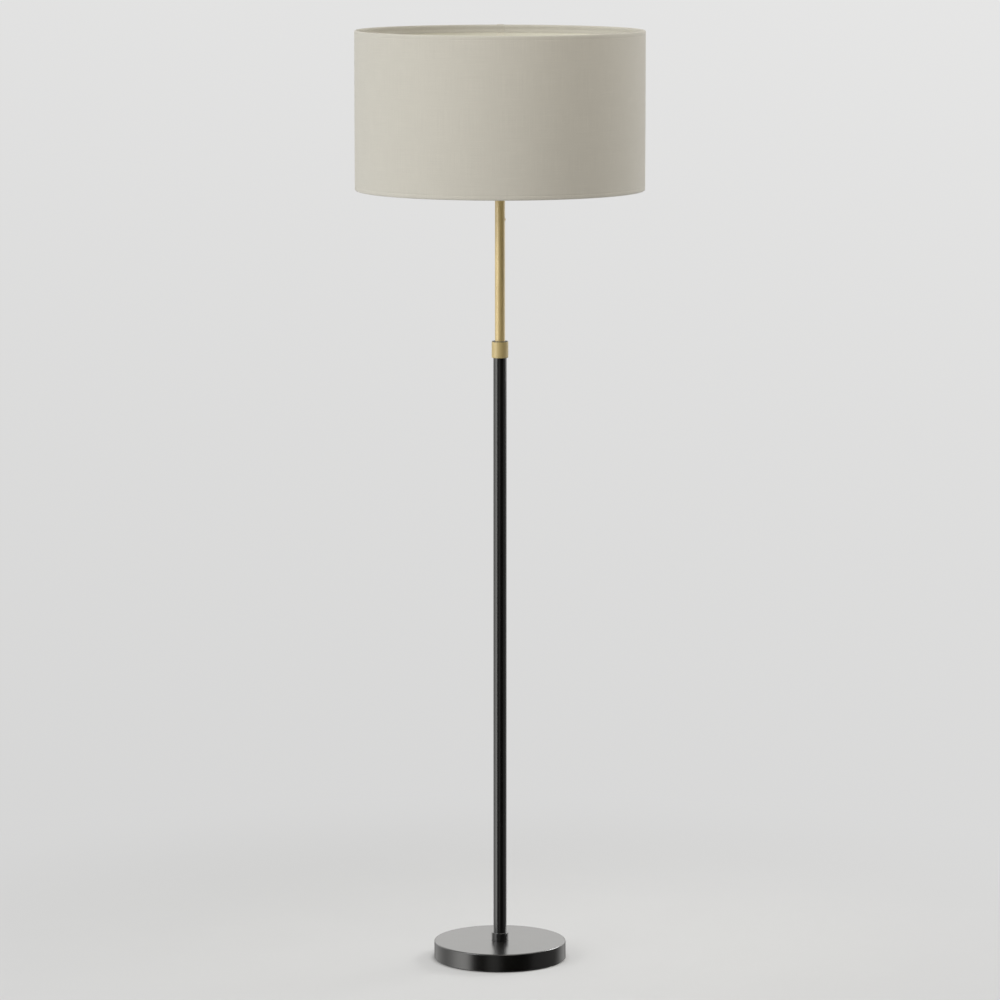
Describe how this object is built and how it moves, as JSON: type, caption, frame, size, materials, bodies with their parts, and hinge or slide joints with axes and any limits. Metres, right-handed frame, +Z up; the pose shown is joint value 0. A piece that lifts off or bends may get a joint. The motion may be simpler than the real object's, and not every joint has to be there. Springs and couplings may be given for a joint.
{
  "type": "telescopic floor lamp",
  "caption": "Floor lamp with a fabric drum shade on a brass mast that slides and turns in a black pole, held by a twist collar, on a round weighted base.",
  "frame": {"origin": "on the floor, under the middle of the base, on the axis of the pole", "axes": "+Z up along the pole, +Y to the rear, where the cord inlet is, +X to the right seen from the front"},
  "size_m": [0.55, 0.55, 1.7898],
  "materials": {
    "black_satin": "satin black powder coat",
    "cast_iron": "raw casting",
    "felt": "pressed wool felt",
    "black_rubber": "matt",
    "zinc_steel": "zinc plated",
    "turned_brass": "as turned",
    "satin_brass": "satin brushed and lacquered",
    "black_nylon": "moulded, matt",
    "black_thermoset": "moulded, fine matt",
    "white_ceramic": "glazed",
    "nickel": "nickel plated",
    "black_glass": "gloss",
    "solder": "soldered",
    "opal_glass": "opal, satin inside",
    "white_wire": "white powder coat",
    "shade_liner": "stiff sheet, matt, pale",
    "putty_fabric": "fine plain weave, bonded to the liner",
    "seam_tape": "matt tape"
  },
  "bodies": {
    "stand": {"base_cover": "black_satin", "base_weight": "cast_iron", "base_pad": "felt", "cord_grommet": "black_rubber", "base_stud": "zinc_steel", "base_washer": "zinc_steel", "base_lock_washer": "zinc_steel", "base_nut": "zinc_steel", "base_ferrule": "black_satin", "pole": "black_satin", "pole_plug": "zinc_steel", "pole_sleeve": "turned_brass", "lock_collet": "black_nylon"},
    "collar": {"lock_collar": "satin_brass", "collar_bush": "black_nylon"},
    "glide": {"mast_glide": "black_nylon"},
    "mast": {"mast_tube": "satin_brass", "glide_clips": "zinc_steel", "stop_screw": "satin_brass", "mast_plug": "turned_brass", "holder_nipple": "zinc_steel", "holder_lock_nut": "turned_brass", "holder_cap": "black_thermoset", "holder_grub_screw": "zinc_steel", "holder_skirt": "black_thermoset", "holder_insert": "white_ceramic", "holder_screw_shell": "nickel", "holder_contact": "turned_brass", "terminal_screws": "turned_brass", "shade_ring_lower": "black_thermoset", "shade_ring_upper": "black_thermoset", "bulb_cap": "nickel", "bulb_insulator": "black_glass", "bulb_contact": "solder", "bulb_globe": "opal_glass", "shade_carrier": "white_wire", "top_ring": "white_wire", "shade_liner": "shade_liner", "shade_fabric": "putty_fabric", "seam_tape": "seam_tape"}
  },
  "joints": [
    {"name": "collar_twist", "type": "hinge", "parent": "stand", "child": "collar", "pos_m": [0, 0, 1.184], "axis": [0, 0, 1], "range_deg": [0, 180]},
    {"name": "mast_height", "type": "slide", "parent": "stand", "child": "glide", "axis": [0, 0, 1], "range_m": [-0.228, 0.1]},
    {"name": "mast_turn", "type": "hinge", "parent": "glide", "child": "mast", "pos_m": [0, 0, 1.184], "axis": [0, 0, 1], "range_deg": [-170, 170]}
  ]
}
